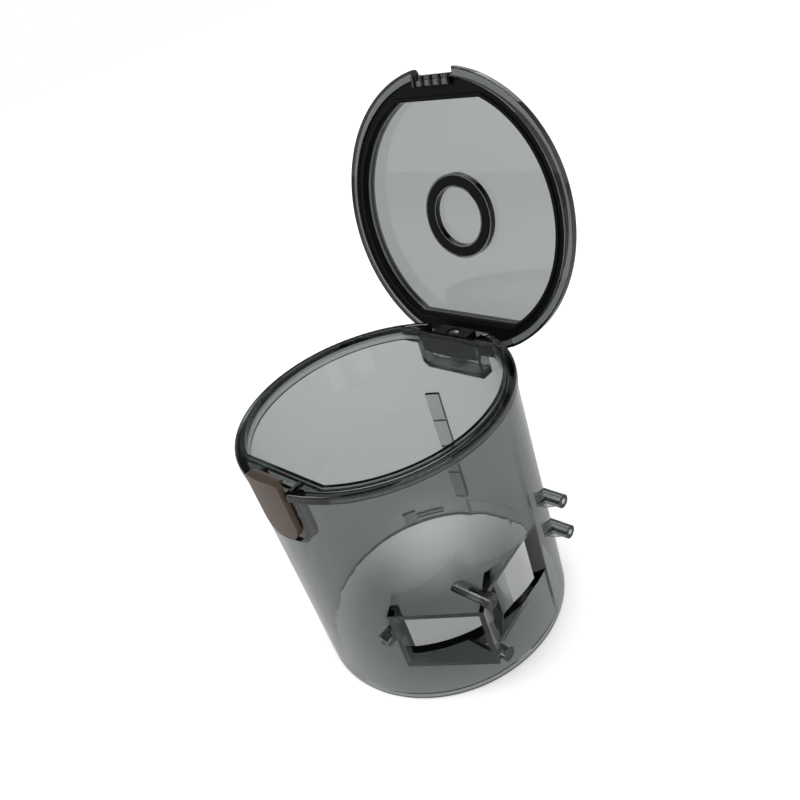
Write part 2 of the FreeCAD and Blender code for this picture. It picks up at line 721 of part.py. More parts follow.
button_ear_plan = closed([
    (nose_root, arm_top),
    (rest_y, arm_top),
    (rest_y, arm_top - pin_radius),
    (eye_radius - pivot_reach, pivot_z + eye_radius),
    (eye_radius - pivot_reach, pivot_z - eye_radius),
    (-pivot_reach, pivot_z - 2 * eye_radius),
    (nose_root, pivot_z - 2 * eye_radius),
])
for name, start in (("right_arm", half_button - button_ear), ("left_arm", -half_button)):
    pad(button, "YZ_Plane", name, button_ear_plan, start, "sizes.button_ear")
pocket(button, "YZ_Plane", "pin_bores", [circle(pin_radius + running_gap, (-pivot_reach, pivot_z))],
       -half_button, 2 * half_button)

# Button pin: plain steel rod held in the frame's two side walls
pin = new_body("button_pin")
pad(pin, "YZ_Plane", "rod", [circle(pin_radius, (-pivot_reach, pivot_z))], -half_chamber,
    2 * half_chamber)

# Button spring: a steel strip bent to a narrow V, with a hole that sits on the chamber's peg
spring = new_body("button_spring")
lean_out = math.sin(math.radians(spring_lean))
lean_down = math.cos(math.radians(spring_lean))
leaf_back = -chamber_front - running_gap
leaf_foot = spring_z - spring_foot
bend_outer = spring_bend + spring_leaf
bend_y = leaf_back - bend_outer
bend_z = spring_z + spring_rise
leaf_tip = running_gap - button_back
leg = (bend_y - bend_outer * lean_down - leaf_tip) / lean_out
bend_end = (bend_y - bend_outer * lean_down, bend_z + bend_outer * lean_out)
bend_inside = (bend_y - spring_bend * lean_down, bend_z + spring_bend * lean_out)
leg_end = (leaf_tip, bend_end[1] - leg * lean_down)
leg_inside = (leaf_tip + spring_leaf * lean_down, leg_end[1] - spring_leaf * lean_out)
pad(spring, "YZ_Plane", "leaf", [
    line((leaf_back, leaf_foot), (leaf_back, bend_z)),
    arc((leaf_back, bend_z), (bend_y, bend_z + bend_outer), bend_end),
    line(bend_end, leg_end),
    line(leg_end, leg_inside),
    line(leg_inside, bend_inside),
    arc(bend_inside, (bend_y, bend_z + spring_bend), (leaf_back - spring_leaf, bend_z)),
    line((leaf_back - spring_leaf, bend_z), (leaf_back - spring_leaf, leaf_foot)),
    line((leaf_back - spring_leaf, leaf_foot), (leaf_back, leaf_foot)),
], -spring_width / 2, "sizes.spring_width")
pocket(spring, "XZ_Plane", "peg_hole", [circle(spring_peg + running_gap, (0, spring_z))], chamber_front,
       bend_outer)

# Hinge bracket: block with a thin front plate, screwed down on the boss in the pocket
bracket = new_body("hinge_bracket")
half_bracket = bracket_width / 2
half_plate = half_space - ear_gap
plate_front = pocket_front + lid_gap
pad(bracket, "XZ_Plane", "front_plate", [
    arc((-half_plate, bracket_foot), (0, bracket_foot - bracket_sag), (half_plate, bracket_foot)),
    line((half_plate, bracket_foot), (half_plate, bracket_top)),
    line((half_plate, bracket_top), (-half_plate, bracket_top)),
    line((-half_plate, bracket_top), (-half_plate, bracket_foot)),
], -plate_front - bracket_plate, "sizes.bracket_plate")
pad(bracket, "XY_Plane", "block",
    rectangle(-half_bracket, plate_front + bracket_plate / 2, half_bracket, bracket_reach),
    bracket_foot, bracket_top - bracket_foot)
pocket(bracket, "XY_Plane", "head_recess", [circle(screw_head_radius + ear_gap, (0, hinge_y))],
       head_seat, screw_head_height + join)
pocket(bracket, "XY_Plane", "screw_hole", [circle(screw_radius + running_gap, (0, hinge_y))],
       bracket_foot - join, head_seat - bracket_foot + 2 * join)
for name, start in (("right_pin_hole", hinge_pin_inner), ("left_pin_hole", -half_bracket - join)):
    pocket(bracket, "YZ_Plane", name, [circle(pin_radius + press_gap, (hinge_y, hinge_z))], start,
           half_bracket + join - hinge_pin_inner)

# Hinge pins: two equal steel rods, one on each side of the screw
rods = []
for name, start in (("right_rod", hinge_pin_inner), ("left_rod", -hinge_pin_outer)):
    rod = doc.addObject("Part::Cylinder", name)
    rod.setExpression("Radius", "sizes.pin_radius")
    rod.setExpression("Height", "sizes.hinge_pin_outer - sizes.hinge_pin_inner")
    rod.Placement = FreeCAD.Placement(vec(start, hinge_y, hinge_z), FreeCAD.Rotation(vec(0, 1, 0), 90))
    rods.append(rod)
hinge_pins = doc.addObject("Part::Compound", "hinge_pins")
hinge_pins.Links = rods

# Hinge screw: round head with a cross slot
screw = new_body("hinge_screw")
head_side = bracket_top - screw_dome
dome_radius = (screw_head_radius ** 2 + screw_dome ** 2) / (2 * screw_dome)
dome_share = math.asin(screw_head_radius / dome_radius) / 2
dome_middle = (dome_radius * math.sin(dome_share),
               bracket_top - dome_radius * (1 - math.cos(dome_share)))
revolve(screw, "turned", [
    line((0, screw_tip), (screw_radius / 2, screw_tip)),
    line((screw_radius / 2, screw_tip), (screw_radius, screw_tip + screw_radius)),
    line((screw_radius, screw_tip + screw_radius), (screw_radius, head_seat)),
    line((screw_radius, head_seat), (screw_head_radius, head_seat)),
    line((screw_head_radius, head_seat), (screw_head_radius, head_side)),
    arc((screw_head_radius, head_side), dome_middle, (0, bracket_top)),
    line((0, bracket_top), (0, screw_tip)),
])
half_slot = screw_slot / 2
for name, half_x, half_y in (("slot_across", screw_radius, half_slot),
                             ("slot_along", half_slot, screw_radius)):
    pocket(screw, "XY_Plane", name, rectangle(-half_x, -half_y, half_x, half_y),
           bracket_top - screw_head_height / 2, screw_head_height)
screw.Placement = FreeCAD.Placement(vec(0, hinge_y, 0), FreeCAD.Rotation())

doc.recompute()

# Every object is checked before the files are written
for item in doc.Objects:
    if "Invalid" in item.State or "Error" in item.State:
        raise RuntimeError(item.Name + " is in error")

os.makedirs("parts", exist_ok=True)
nodes = (cup, lid, seal, centre_seal, button, pin, spring, bracket, hinge_pins, screw)
for node in nodes:
    if node.Shape.isNull() or not node.Shape.isValid():
        raise RuntimeError(node.Label + " has no valid shape")
    node.Shape.exportStep("parts/" + node.Label + ".step")
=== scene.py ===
"""Looks of a clear cyclone dust bin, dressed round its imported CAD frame.

Every length is in metres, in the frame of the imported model: the cup stands on its motor end, +Z runs up
the cup, the latch is at -Y and the hinge at +Y.
"""

import logging
import math
from dataclasses import dataclass
from enum import Enum

import bmesh
import bpy
from mathutils import Matrix, Vector


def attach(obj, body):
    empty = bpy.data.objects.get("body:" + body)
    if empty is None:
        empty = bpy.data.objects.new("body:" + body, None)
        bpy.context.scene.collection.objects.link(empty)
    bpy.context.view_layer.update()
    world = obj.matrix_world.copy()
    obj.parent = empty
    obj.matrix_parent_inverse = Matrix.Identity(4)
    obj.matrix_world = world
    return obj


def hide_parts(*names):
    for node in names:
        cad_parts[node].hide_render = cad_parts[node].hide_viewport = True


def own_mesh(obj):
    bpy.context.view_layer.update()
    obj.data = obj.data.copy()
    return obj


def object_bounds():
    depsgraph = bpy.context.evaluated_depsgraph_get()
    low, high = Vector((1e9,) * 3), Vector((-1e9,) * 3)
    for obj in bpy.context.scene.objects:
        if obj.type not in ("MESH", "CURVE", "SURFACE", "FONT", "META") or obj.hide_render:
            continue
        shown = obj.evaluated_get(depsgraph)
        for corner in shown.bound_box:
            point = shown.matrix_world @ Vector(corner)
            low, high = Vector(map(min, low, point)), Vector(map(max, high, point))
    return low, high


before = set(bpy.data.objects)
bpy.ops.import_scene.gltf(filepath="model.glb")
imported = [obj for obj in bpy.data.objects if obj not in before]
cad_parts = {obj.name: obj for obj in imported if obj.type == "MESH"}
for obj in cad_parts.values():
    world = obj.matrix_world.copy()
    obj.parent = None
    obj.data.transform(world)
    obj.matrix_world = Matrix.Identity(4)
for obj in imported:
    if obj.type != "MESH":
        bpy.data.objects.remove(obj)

CAD_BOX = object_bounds()
MM = 0.001
WATT = 1.0
WELD_GAP = 0.001 * MM
WHITE = (1.0, 1.0, 1.0, 1.0)
LOG = logging.getLogger("dust_bin")

Triple = tuple[float, float, float]
Range = tuple[float, float]


class Part(Enum):
    """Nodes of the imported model."""

    CUP = "cup_body"
    LID = "lid_panel"
    LID_SEAL = "lid_seal"
    CENTRE_SEAL = "centre_seal"
    BUTTON = "release_button"
    BRACKET = "hinge_bracket"
    SCREW = "hinge_screw"
    BUTTON_PIN = "button_pin"
    HINGE_PINS = "hinge_pins"
    SPRING = "button_spring"


class Ride(Enum):
    """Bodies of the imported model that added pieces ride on."""

    CUP = "cup"
    LID = "lid"


class Slot(Enum):
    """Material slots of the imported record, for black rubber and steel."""

    RUBBER = "black_rubber"
    STEEL = "steel"


@dataclass(frozen=True)
class BinSizes:
    """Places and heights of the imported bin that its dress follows, with the lid shut."""

    foot_chamfer: float = 0.6 * MM
    groove_floor: float = 108.2 * MM
    rim_top: float = 109.8 * MM
    ear_foot: float = 100.0 * MM
    flange_face: float = 110.1 * MM
    flange_top: float = 114.3 * MM
    pane_face: float = 117.1 * MM
    chamber_back_y: float = -48.7 * MM
    hinge_y: float = 49.5 * MM
    hinge_z: float = 103.6 * MM
    opening: float = math.radians(100.0)

    def opened_lid(self) -> Matrix:
        """Turn the shut lid to where it stands open.

        Returns:
            The turn about the hinge.
        """
        hinge = Matrix.Translation((0.0, self.hinge_y, self.hinge_z))
        return hinge @ Matrix.Rotation(-self.opening, 4, "X") @ hinge.inverted()

    def lid_up(self) -> Triple:
        """Way in which height grows on the opened lid.

        Returns:
            A unit vector.
        """
        return 0.0, math.sin(self.opening), math.cos(self.opening)

    def lid_foot(self) -> float:
        """What a height on the shut lid gains, measured along lid_up on the opened lid.

        Returns:
            The shift.
        """
        along_hinge = self.hinge_y * math.sin(self.opening) + self.hinge_z * math.cos(self.opening)
        return along_hinge - self.hinge_z


BIN = BinSizes()


class NodeSheet:
    """Adds nodes to one tree and joins their sockets."""

    def __init__(self, tree: bpy.types.NodeTree) -> None:
        """Start on an empty tree.

        Args:
            tree: The tree that the nodes go into.
        """
        self.tree = tree
        self.tree.nodes.clear()

    def add(self, kind: str, settings: dict | None = None, inputs: dict | None = None) -> bpy.types.Node:
        """Add one node.

        Args:
            kind: The node's type name.
            settings: Properties to set on it.
            inputs: Values for its sockets, by socket name or number; a socket given here is linked.

        Returns:
            The new node.
        """
        node = self.tree.nodes.new(kind)
        for name, value in (settings or {}).items():
            setattr(node, name, value)
        for name, value in (inputs or {}).items():
            if isinstance(value, bpy.types.NodeSocket):
                self.tree.links.new(value, node.inputs[name])
            else:
                node.inputs[name].default_value = value
        return node

    def maths(self, operation: str, *values: float | bpy.types.NodeSocket) -> bpy.types.NodeSocket:
        """Add a Math node.

        Args:
            operation: What it works out.
            values: Its inputs in order.

        Returns:
            Its result.
        """
        node = self.add("ShaderNodeMath", {"operation": operation}, dict(enumerate(values)))
        return node.outputs["Value"]

    def measure(self, operation: str, *vectors: Triple | bpy.types.NodeSocket) -> bpy.types.NodeSocket:
        """Add a Vector Math node that ends in a number.

        Args:
            operation: What it works out.
            vectors: Its inputs in order.

        Returns:
            Its result.
        """
        node = self.add("ShaderNodeVectorMath", {"operation": operation}, dict(enumerate(vectors)))
        return node.outputs["Value"]

    def own_place(self) -> bpy.types.NodeSocket:
        """Where a point lies on its piece.

        Returns:
            The Object coordinates.
        """
        return self.add("ShaderNodeTexCoord").outputs["Object"]

    def spread(
        self,
        value: bpy.types.NodeSocket,
        source: Range,
        target: tuple,
        soft: bool = False,
    ) -> bpy.types.NodeSocket:
        """Map a value from one range to another.

        Args:
            value: The value to map.
            source: The range it comes from.
            target: What the ends of that range become; each may be a socket.
            soft: Whether it eases in and out.

        Returns:
            The mapped value.
        """
        way = "SMOOTHSTEP" if soft else "LINEAR"
        node = self.add("ShaderNodeMapRange", {"interpolation_type": way}, {
            "Value": value, "From Min": source[0], "From Max": source[1],
            "To Min": target[0], "To Max": target[1]})
        return node.outputs["Result"]

    def noise(self, scale: float, detail: float) -> bpy.types.NodeSocket:
        """Noise over a piece.

        Args:
            scale: Features to the metre.
            detail: Octaves of noise.

        Returns:
            The noise, from 0 to 1.
        """
        node = self.add("ShaderNodeTexNoise", inputs={
            "Vector": self.own_place(), "Scale": scale, "Detail": detail})
        return node.outputs["Fac"]

    def tint_ramp(self, value: bpy.types.NodeSocket, first: Triple, last: Triple) -> bpy.types.NodeSocket:
        """Blend two colours by a value.

        Args:
            value: The value that picks between them.
            first: The colour up to a value of 0.3.
            last: The colour from a value of 0.7.

        Returns:
            The colour.
        """
        ramp = self.add("ShaderNodeValToRGB", inputs={"Fac": value})
        for mark, place, colour in zip(ramp.color_ramp.elements, (0.3, 0.7), (first, last)):
            mark.position = place
            mark.color = (*colour, 1.0)
        return ramp.outputs["Color"]

    def bump(self, height: bpy.types.NodeSocket, depth: float, strength: float) -> bpy.types.NodeSocket:
        """Fine relief.

        Args:
            height: The relief, from 0 to 1.
            depth: How deep it is.
            strength: How much of it shows.

        Returns:
            The normal.
        """
        node = self.add("ShaderNodeBump", inputs={"Height": height, "Distance": depth, "Strength": strength})
        return node.outputs["Normal"]


def blank_material(name: str) -> tuple[bpy.types.Material, NodeSheet, bpy.types.Node]:
    """Start a node material.

    Args:
        name: The material's name.

    Returns:
        The material, its sheet of nodes and its output node.
    """
    material = bpy.data.materials.new(name)
    material.use_nodes = True
    sheet = NodeSheet(material.node_tree)
    return material, sheet, sheet.add("ShaderNodeOutputMaterial")


@dataclass(frozen=True)
class PaintedShadeBand:
    """Heights on a moulding between which its upright faces get painted shade, standing in for the dark
    lines that clear edges show.
    """

    low: float
    high: float

    def mask(self, sheet: NodeSheet, height: bpy.types.NodeSocket, foot: float) -> bpy.types.NodeSocket:
        """Mark what lies in the band of painted shade.

        Args:
            sheet: The sheet of nodes.
            height: Height of a point.
            foot: What is added to the band's own heights.

        Returns:
            1 in the band, else 0.
        """
        return sheet.maths("COMPARE", height, foot + (self.low + self.high) / 2, (self.high - self.low) / 2)


@dataclass(frozen=True)
class SmokyClear:
    """Clear plastic with a smoky tint all through it, a slightly wavy moulded skin and bands of painted
    shade at given heights.
    """

    name: str
    tint: Triple
    density: float
    painted_shade_bands: tuple[PaintedShadeBand, ...]
    skin_tint: Triple
    # colour of the painted shade in the bands
    painted_shade_tint: Triple = (0.03, 0.032, 0.031)
    up: Triple = (0.0, 0.0, 1.0)
    foot: float = 0.0
    refraction: float = 1.50
    gloss: Range = (0.0, 0.02)
    haze_scale: float = 160.0
    wave_scale: float = 55.0
    wave_height: float = 0.02 * MM
    wave_strength: float = 0.6

    def skin(self, sheet: NodeSheet) -> bpy.types.NodeSocket:
        """Triple that the skin gives to the light that crosses it.

        Args:
            sheet: The sheet of nodes.

        Returns:
            The colour, darkened by painted shade within the bands.
        """
        height = sheet.measure("DOT_PRODUCT", sheet.own_place(), self.up)
        # painted shade: the skin turns near black within each band of height
        dark = self.painted_shade_bands[0].mask(sheet, height, self.foot)
        for band in self.painted_shade_bands[1:]:
            dark = sheet.maths("MAXIMUM", dark, band.mask(sheet, height, self.foot))
        return sheet.tint_ramp(dark, self.skin_tint, self.painted_shade_tint)

    def make(self) -> bpy.types.Material:
        """Build the material.

        Returns:
            The material.
        """
        material, sheet, output = blank_material(self.name)
        waves = sheet.noise(self.wave_scale, detail=1.0)
        haze = sheet.noise(self.haze_scale, detail=3.0)
        shader = sheet.add("ShaderNodeBsdfPrincipled", inputs={
            "Base Color": self.skin(sheet),
            "Transmission Weight": 1.0,
            "IOR": self.refraction,
            "Roughness": sheet.spread(haze, (0.0, 1.0), self.gloss),
            "Normal": sheet.bump(waves, self.wave_height, self.wave_strength),
        })
        see_through = sheet.add("ShaderNodeBsdfTransparent", inputs={"Color": (*self.skin_tint, 1.0)})
        path = sheet.add("ShaderNodeLightPath")
        soft_shadow = sheet.add("ShaderNodeMixShader", inputs={
            0: path.outputs["Is Shadow Ray"], 1: shader.outputs["BSDF"], 2: see_through.outputs["BSDF"]})
        smoke = sheet.add("ShaderNodeVolumeAbsorption", inputs={
            "Color": (*self.tint, 1.0), "Density": self.density})
        sheet.tree.links.new(soft_shadow.outputs["Shader"], output.inputs["Surface"])
        sheet.tree.links.new(smoke.outputs["Volume"], output.inputs["Volume"])
        return material


@dataclass(frozen=True)
class Solid:
    """Opaque plastic, rubber or steel with a fine grain and uneven gloss."""

    name: str
    dark: Triple
    light: Triple
    gloss: Range
    grain_scale: float
    grain_height: float
    metallic: float = 0.0
    shine: float = 0.5
    cloud_scale: float = 90.0
    grain_strength: float = 0.7

    def make(self) -> bpy.types.Material:
        """Build the material.

        Returns:
            The material.
        """
        material, sheet, output = blank_material(self.name)
        clouds = sheet.noise(self.cloud_scale, detail=4.0)
        grain = sheet.noise(self.grain_scale, detail=3.0)
        shader = sheet.add("ShaderNodeBsdfPrincipled", inputs={
            "Base Color": sheet.tint_ramp(clouds, self.dark, self.light),
            "Roughness": sheet.spread(clouds, (0.0, 1.0), self.gloss),
            "Metallic": self.metallic,
            "Specular IOR Level": self.shine,
            "Normal": sheet.bump(grain, self.grain_height, self.grain_strength),
        })
        sheet.tree.links.new(shader.outputs["BSDF"], output.inputs["Surface"])
        return material


@dataclass(frozen=True)
class Finishes:
    """All the materials of the bin, each made once."""

    cup_clear: bpy.types.Material
    lid_clear: bpy.types.Material
    rubber: bpy.types.Material
    bronze: bpy.types.Material
    black: bpy.types.Material
    steel: bpy.types.Material


def make_finishes() -> Finishes:
    """Make every finish.

    The bands of painted shade end a little short of the flat faces beside them, which stay clear, and part
    way up the big round of the lid's flange.

    Returns:
        The finishes.
    """
    cup_clear = SmokyClear(
        "smoky_clear_cup",
        tint=(0.10, 0.15, 0.13),
        density=285.0,
        skin_tint=(0.63, 0.65, 0.64),
        # painted shade on the foot chamfer and on the rim above the groove
        painted_shade_bands=(
            PaintedShadeBand(0.1 * MM, BIN.foot_chamfer + 0.1 * MM),
            PaintedShadeBand(BIN.groove_floor + 0.1 * MM, BIN.rim_top - 0.12 * MM),
        ),
    )
    lid_clear = SmokyClear(
        "smoky_clear_lid",
        tint=(0.12, 0.15, 0.12),
        density=500.0,
        skin_tint=(0.74, 0.76, 0.75),
        # painted shade on the lid's skirt, its flange and the round up to the pane
        painted_shade_bands=(
            PaintedShadeBand(BIN.ear_foot, BIN.flange_face - 0.25 * MM),
            PaintedShadeBand(BIN.flange_face + 0.25 * MM, BIN.flange_top - 0.8 * MM),
            PaintedShadeBand(BIN.flange_top + 0.25 * MM, BIN.pane_face - 0.25 * MM),
        ),
        up=BIN.lid_up(),
        foot=BIN.lid_foot(),
    )
    rubber = Solid(
        "black_rubber",
        dark=(0.0022, 0.0023, 0.0025),
        light=(0.004, 0.0041, 0.0044),
        gloss=(0.5, 0.62),
        grain_scale=2600.0,
        grain_height=0.02 * MM,
        shine=0.1,
    )
    bronze = Solid(
        "bronze_plastic",
        dark=(0.072, 0.050, 0.037),
        light=(0.096, 0.068, 0.050),
        gloss=(0.40, 0.50),
        grain_scale=4200.0,
        grain_height=0.01 * MM,
        metallic=0.2,
        shine=0.35,
    )
    black = Solid(
        "black_plastic",
        dark=(0.003, 0.003, 0.0034),
        light=(0.006, 0.006, 0.0065),
        gloss=(0.3, 0.42),
        grain_scale=3200.0,
        grain_height=0.015 * MM,
        shine=0.3,
    )
    steel = Solid(
        "bright_steel",
        dark=(0.50, 0.50, 0.49),
        light=(0.66, 0.66, 0.65),
        gloss=(0.16, 0.3),
        grain_scale=1800.0,
        grain_height=0.006 * MM,
        metallic=1.0,
    )
    return Finishes(
        cup_clear=cup_clear.make(),
        lid_clear=lid_clear.make(),
        rubber=rubber.make(),
        bronze=bronze.make(),
        black=black.make(),
        steel=steel.make(),
    )


class TreeMaker:
    """Builds Geometry Nodes trees with named inputs."""

    def __init__(self, name: str) -> None:
        """Start a tree.

        Args:
            name: The tree's name.
        """
        self.tree = bpy.data.node_groups.new(name, "GeometryNodeTree")
        self.sheet = NodeSheet(self.tree)

    def take(self, name: str, kind: str, default: float | int | None = None) -> None:
        """Add an input to the tree.

        Args:
            name: The input's name.
            kind: Its socket type, without the word NodeSocket.
            default: Its value where nothing else is set.
        """
        socket = self.tree.interface.new_socket(name, in_out="INPUT", socket_type="NodeSocket" + kind)
        if default is not None:
            socket.default_value = default

    def give(self, geometry: bpy.types.NodeSocket) -> bpy.types.NodeTree:
        """End the tree.

        Args:
            geometry: What it hands on.

        Returns:
            The finished tree.
        """
        self.tree.interface.new_socket("Geometry", in_out="OUTPUT", socket_type="NodeSocketGeometry")
        self.sheet.add("NodeGroupOutput", inputs={"Geometry": geometry})
        return self.tree


def shading_tree(sharp_angle: float) -> bpy.types.NodeTree:
    """A tree that shades faces smooth and keeps edges sharper than its angle sharp.

    Args:
        sharp_angle: The angle.

    Returns:
        The Geometry Nodes tree.
    """
    maker = TreeMaker("smooth_shading")
    maker.take("Geometry", "Geometry")
    maker.take("Sharp angle", "Float", sharp_angle)
    sheet = maker.sheet
    entry = sheet.add("NodeGroupInput")
    smooth = sheet.add("GeometryNodeSetShadeSmooth", {"domain": "FACE"}, {
        "Geometry": entry.outputs["Geometry"]})
    edge = sheet.add("GeometryNodeInputMeshEdgeAngle")
    sharper = sheet.add("FunctionNodeCompare", {"data_type": "FLOAT", "operation": "GREATER_THAN"}, {
        "A": edge.outputs["Unsigned Angle"], "B": entry.outputs["Sharp angle"]})
    crease = sheet.add("GeometryNodeSetShadeSmooth", {"domain": "EDGE"}, {
        "Geometry": smooth.outputs["Geometry"],
        "Selection": sharper.outputs["Result"],
        "Shade Smooth": False,
    })
    return maker.give(crease.outputs["Geometry"])


def sweep_tree(name: str, curve_node: str, curve_inputs: dict, corners: int) -> bpy.types.NodeTree:
    """A tree that sweeps a small round or cornered profile along a curve.

    Args:
        name: The tree's name.
        curve_node: Node type of the curve that is followed.
        curve_inputs: The curve's sockets by name, with the defaults of the tree's inputs of those names.
        corners: Points round the profile.

    Returns:
        The Geometry Nodes tree.
    """
    maker = TreeMaker(name)
    for label, default in curve_inputs.items():
        maker.take(label, "Int" if isinstance(default, int) else "Float", default)
    maker.take("Profile", "Float")
    maker.take("Finish", "Material")
    sheet = maker.sheet
    entry = sheet.add("NodeGroupInput")
    curve = sheet.add(curve_node, inputs={label: entry.outputs[label] for label in curve_inputs})
    profile = sheet.add("GeometryNodeCurvePrimitiveCircle", inputs={
        "Resolution": corners, "Radius": entry.outputs["Profile"]})
    swept = sheet.add("GeometryNodeCurveToMesh", inputs={
        "Curve": curve.outputs["Curve"], "Profile Curve": profile.outputs["Curve"], "Fill Caps": True})
    plain = sheet.add("GeometryNodeRealizeInstances", inputs={"Geometry": swept.outputs["Mesh"]})
    finish = sheet.add("GeometryNodeSetMaterial", inputs={
        "Geometry": plain.outputs["Geometry"], "Material": entry.outputs["Finish"]})
    return maker.give(finish.outputs["Geometry"])


def grown(name: str, tree: bpy.types.NodeTree, values: dict, place: Matrix) -> bpy.types.Object:
    """Run a Geometry Nodes tree once and keep what it makes as a plain mesh.

    Args:
        name: The new piece's name.
        tree: The tree to run.
        values: The tree's inputs by name.
        place: Where the result goes.

    Returns:
        The new piece, at the origin with its place in its mesh.
    """
    scene = bpy.context.scene
    grower = bpy.data.objects.new(name + "_grower", bpy.data.meshes.new(name + "_grower"))
    scene.collection.objects.link(grower)
    modifier = grower.modifiers.new("grow", "NODES")
    modifier.node_group = tree
    for item in tree.interface.items_tree:
        if item.in_out == "INPUT" and item.name in values:
            modifier[item.identifier] = values[item.name]
    graph = bpy.context.evaluated_depsgraph_get()
    mesh = bpy.data.meshes.new_from_object(grower.evaluated_get(graph), depsgraph=graph)
    bpy.data.objects.remove(grower)
    mesh.transform(place)
    mesh.shade_smooth()
    piece = bpy.data.objects.new(name, mesh)
    scene.collection.objects.link(piece)
    return piece


@dataclass(frozen=True)
class CadDresser:
    """Gives a CAD node rounded edges, smooth shading and a finish, and leaves its mesh as it is."""

    shading: bpy.types.NodeTree
    flat_angle: float = math.radians(0.5)
    round_angle: float = math.radians(35.0)

    def dress(self, part: Part, finish: bpy.types.Material, edge_round: float, swell: float = 0.0) -> None:
        """Dress one node.

        Args:
            part: The node to dress.
            finish: Its material.
            edge_round: Width of the small round on its sharp edges.
            swell: How far its faces stand out, so that soft rubber touches its seat.
        """
        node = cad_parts[part.value]
        node.data.materials.clear()
        node.data.materials.append(finish)
        weld = node.modifiers.new("weld", "WELD")
        weld.merge_threshold = WELD_GAP
        flat = node.modifiers.new("flat_faces", "DECIMATE")
        flat.decimate_type = "DISSOLVE"
        flat.angle_limit = self.flat_angle
        bevel = node.modifiers.new("edge_round", "BEVEL")
        bevel.width = edge_round
        bevel.segments = 2
        bevel.limit_method = "ANGLE"
        bevel.angle_limit = self.round_angle
        if swell:
            press = node.modifiers.new("pressed_in", "DISPLACE")
            press.strength = swell
            press.mid_level = 0.0
        shade = node.modifiers.new("smooth_shading", "NODES")
        shade.node_group = self.shading
        normals = node.modifiers.new("even_normals", "WEIGHTED_NORMAL")
        normals.keep_sharp = True
        LOG.info("dressed %s", part.value)


@dataclass(frozen=True)
class SealBead:
    """Fine bead round the face of the lid's seal, broken at the catch and at the hinge."""

    radius: float = 51.3 * MM
    height: float = BIN.flange_face + 1.2 * MM
    thickness: float = 0.22 * MM
    catch_gap: float = math.radians(11.0)
    hinge_gap: float = math.radians(16.5)
    steps: int = 72
    corners: int = 8

    def make(self, finish: bpy.types.Material) -> None:
        """Build the right and the left bead.

        Args:
            finish: The rubber.
        """
        tree = sweep_tree("bead", "GeometryNodeCurveArc", {
            "Resolution": self.steps,
            "Radius": self.radius,
            "Start Angle": 0.0,
            "Sweep Angle": 1.0,
        }, self.corners)
        place = BIN.opened_lid() @ Matrix.Translation((0.0, 0.0, self.height))
        quarter = math.pi / 2
        for side, start in (("right", self.catch_gap - quarter), ("left", quarter + self.hinge_gap)):
            bead = grown("seal_bead_" + side, tree, {
                "Start Angle": start,
                "Sweep Angle": math.pi - self.catch_gap - self.hinge_gap,
                "Profile": self.thickness,
                "Finish": finish,
            }, place)
            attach(bead, Ride.LID.value)
            LOG.info("built %s", bead.name)


@dataclass(frozen=True)
class ScrewThread:
    """Thread that the hinge screw cuts into its boss."""

    radius: float = 1.24 * MM
    foot: float = 96.6 * MM
    pitch: float = 0.9 * MM
    turns: float = 4.5
    depth: float = 0.22 * MM
    steps: int = 24
    corners: int = 4

    def make(self, finish: bpy.types.Material) -> None:
        """Build the thread.

        Args:
            finish: The steel.
        """
        tree = sweep_tree("thread", "GeometryNodeCurveSpiral", {
            "Resolution": self.steps,
            "Rotations": 1.0,
            "Start Radius": self.radius,
            "End Radius": self.radius,
            "Height": self.pitch,
        }, self.corners)
        thread = grown("screw_thread", tree, {
            "Rotations": self.turns,
            "Height": self.turns * self.pitch,
            "Profile": self.depth,
            "Finish": finish,
        }, Matrix.Translation((0.0, BIN.hinge_y, self.foot)))
        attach(thread, Ride.CUP.value)
        LOG.info("built %s", thread.name)


@dataclass(frozen=True)
class LeafSpring:
    """Leaf spring behind the button."""

    seat_y: float = BIN.chamber_back_y
    keep: float = 0.66

    def make(self, finish: bpy.types.Material) -> None:
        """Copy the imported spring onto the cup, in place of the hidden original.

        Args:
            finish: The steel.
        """
        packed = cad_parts[Part.SPRING.value]
        sheet = bmesh.new()
        sheet.from_mesh(packed.data)
        sheet.transform(packed.matrix_world)
        bmesh.ops.remove_doubles(sheet, verts=sheet.verts, dist=WELD_GAP)
        mesh = bpy.data.meshes.new("leaf_spring")
        sheet.to_mesh(mesh)
        sheet.free()
        mesh.materials.clear()
        mesh.materials.append(finish)
        spring = bpy.data.objects.new("leaf_spring", mesh)
        bpy.context.scene.collection.objects.link(spring)
        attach(spring, Ride.CUP.value)
        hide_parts(Part.SPRING.value)
        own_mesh(spring)
        LOG.info("built %s", spring.name)


@dataclass(frozen=True)
class PhotoCamera:
    """Camera at the photograph's angle, for a square picture."""

    place: tuple = (0.20760, -0.14672, 0.26063)
    aim: tuple = (0.00723, 0.00929, 0.09494)
    roll: float = math.radians(-18.84)
    lens: float = 35.31
    sensor: float = 36.0
    shift: Range = (-0.0154, 0.0242)

    def make(self) -> bpy.types.Object:
        """Build the camera.

        Returns:
            The camera.
        """
        data = bpy.data.cameras.new("photo_camera")
        data.lens = self.lens
        data.sensor_width = self.sensor
        data.shift_x, data.shift_y = self.shift
        camera = bpy.data.objects.new("photo_camera", data)
        ahead = (Vector(self.aim) - Vector(self.place)).normalized()
        look = ahead.to_track_quat("-Z", "Y").to_matrix().to_4x4()
        camera.matrix_world = Matrix.Translation(self.place) @ look @ Matrix.Rotation(self.roll, 4, "Z")
        bpy.context.scene.collection.objects.link(camera)
        LOG.info("placed %s", camera.name)
        return camera


